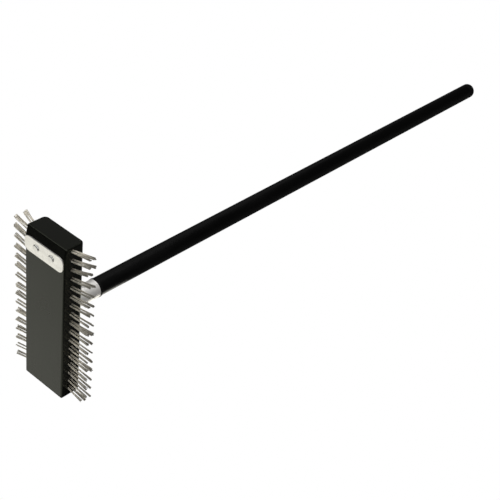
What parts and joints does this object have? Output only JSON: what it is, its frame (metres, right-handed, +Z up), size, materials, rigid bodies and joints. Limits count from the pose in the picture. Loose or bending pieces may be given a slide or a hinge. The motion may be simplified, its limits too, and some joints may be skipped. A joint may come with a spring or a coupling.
{
  "type": "grill cleaning brush",
  "caption": "Long-handled grill brush: a black block with steel wire tufts along both long sides and a riveted steel scraper strip, screwed by a metal ferrule to a round black handle.",
  "frame": {"origin": "on the floor, under the middle of the brush's bounding box, as it rests on the back lower edge of its head and the tip of its handle", "axes": "+Z up, +X along the floor from the head towards the tip of the handle, Y across the head with the tufts pointing along +Y (left) and -Y (right)"},
  "size_m": [0.907, 0.1316, 0.2202],
  "materials": {
    "block_black": "satin black moulded block with lightly rubbed edges",
    "scraper_steel": "plain steel strip with fine lengthwise brushing",
    "rivet_steel": "plain steel, turned heads",
    "wire_steel": "oil-tempered flat steel wire, bright on the flats and dark on the edges",
    "ferrule_metal": "satin die-cast metal",
    "tube_steel": "drawn steel tube, hidden under the sleeve",
    "ring_black": "black plastic lip",
    "handle_black": "smooth black plastic sleeve",
    "cap_black": "black plastic cap"
  },
  "bodies": {
    "root": {"head_block": "block_black", "scraper_plate": "scraper_steel", "scraper_rivet_left": "rivet_steel", "scraper_rivet_right": "rivet_steel", "tuft_anchors_left": "wire_steel", "tuft_anchors_right": "wire_steel", "ferrule": "ferrule_metal", "ferrule_pin_top": "rivet_steel", "ferrule_pin_bottom": "rivet_steel", "handle_tube": "tube_steel", "sleeve_ring": "ring_black", "handle_sleeve": "handle_black", "end_cap": "cap_black", "tuft_row_left_01": "wire_steel", "tuft_row_left_02": "wire_steel", "tuft_row_left_03": "wire_steel", "tuft_row_left_04": "wire_steel", "tuft_row_left_05": "wire_steel", "tuft_row_left_06": "wire_steel", "tuft_row_left_07": "wire_steel", "tuft_row_left_08": "wire_steel", "tuft_row_left_09": "wire_steel", "tuft_row_left_10": "wire_steel", "tuft_row_left_11": "wire_steel", "tuft_row_left_12": "wire_steel", "tuft_row_left_13": "wire_steel", "tuft_row_left_14": "wire_steel", "tuft_row_left_15": "wire_steel", "tuft_row_left_16": "wire_steel", "tuft_row_left_17": "wire_steel", "tuft_row_right_01": "wire_steel", "tuft_row_right_02": "wire_steel", "tuft_row_right_03": "wire_steel", "tuft_row_right_04": "wire_steel", "tuft_row_right_05": "wire_steel", "tuft_row_right_06": "wire_steel", "tuft_row_right_07": "wire_steel", "tuft_row_right_08": "wire_steel", "tuft_row_right_09": "wire_steel", "tuft_row_right_10": "wire_steel", "tuft_row_right_11": "wire_steel", "tuft_row_right_12": "wire_steel", "tuft_row_right_13": "wire_steel", "tuft_row_right_14": "wire_steel", "tuft_row_right_15": "wire_steel", "tuft_row_right_16": "wire_steel", "tuft_row_right_17": "wire_steel"}
  },
  "joints": []
}
